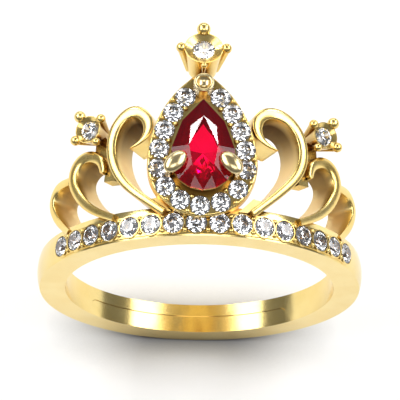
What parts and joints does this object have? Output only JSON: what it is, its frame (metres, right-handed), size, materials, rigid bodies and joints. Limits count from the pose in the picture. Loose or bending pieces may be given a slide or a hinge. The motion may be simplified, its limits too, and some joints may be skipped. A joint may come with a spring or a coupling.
{
  "type": "crown ring",
  "caption": "Gold crown-shaped finger ring: a tapered band with a row of clear brilliants, a pear-cut red gem in a halo, curled scrolls and small four-prong collets.",
  "frame": {"origin": "on the finger bore's axis, in the plane of the band's flat front edge face", "axes": "+Y along the finger bore, the way the crown rises; +Z from the bore's axis to the row of stones, the way the stones face; +X to the wearer's right of the crown"},
  "size_m": [0.0208, 0.0138, 0.023],
  "materials": {
    "shank_gold": "polished pale yellow gold plate",
    "setting_gold": "polished yellow gold plate",
    "claw_gold": "polished pale gold plate",
    "clear_stone": "faceted colourless cubic zirconia",
    "ruby": "faceted deep red stone"
  },
  "bodies": {
    "root": {"halo_plate": "setting_gold", "halo_stone_01": "clear_stone", "halo_stone_02": "clear_stone", "halo_stone_03": "clear_stone", "halo_stone_04": "clear_stone", "halo_stone_05": "clear_stone", "halo_stone_06": "clear_stone", "halo_stone_07": "clear_stone", "halo_stone_08": "clear_stone", "halo_stone_09": "clear_stone", "halo_stone_10": "clear_stone", "halo_stone_11": "clear_stone", "halo_stone_12": "clear_stone", "halo_stone_13": "clear_stone", "halo_stone_14": "clear_stone", "halo_stone_15": "clear_stone", "left_claw": "claw_gold", "left_collet": "setting_gold", "left_foot_web": "setting_gold", "left_large_scroll": "setting_gold", "left_middle_scroll": "setting_gold", "left_prongs": "setting_gold", "left_small_scroll": "setting_gold", "left_stone": "clear_stone", "left_strut": "setting_gold", "pear_basket": "setting_gold", "pear_ruby": "ruby", "right_claw": "claw_gold", "right_collet": "setting_gold", "right_foot_web": "setting_gold", "right_large_scroll": "setting_gold", "right_middle_scroll": "setting_gold", "right_prongs": "setting_gold", "right_small_scroll": "setting_gold", "right_stone": "clear_stone", "right_strut": "setting_gold", "row_setting": "setting_gold", "row_stone_01": "clear_stone", "row_stone_02": "clear_stone", "row_stone_03": "clear_stone", "row_stone_04": "clear_stone", "row_stone_05": "clear_stone", "row_stone_06": "clear_stone", "row_stone_07": "clear_stone", "row_stone_08": "clear_stone", "row_stone_09": "clear_stone", "row_stone_10": "clear_stone", "row_stone_11": "clear_stone", "row_stone_12": "clear_stone", "row_stone_13": "clear_stone", "row_stone_14": "clear_stone", "row_stone_15": "clear_stone", "row_stone_16": "clear_stone", "shank": "shank_gold", "tip_claw": "claw_gold", "top_collet": "setting_gold", "top_prongs": "setting_gold", "top_stone": "clear_stone"}
  },
  "joints": []
}
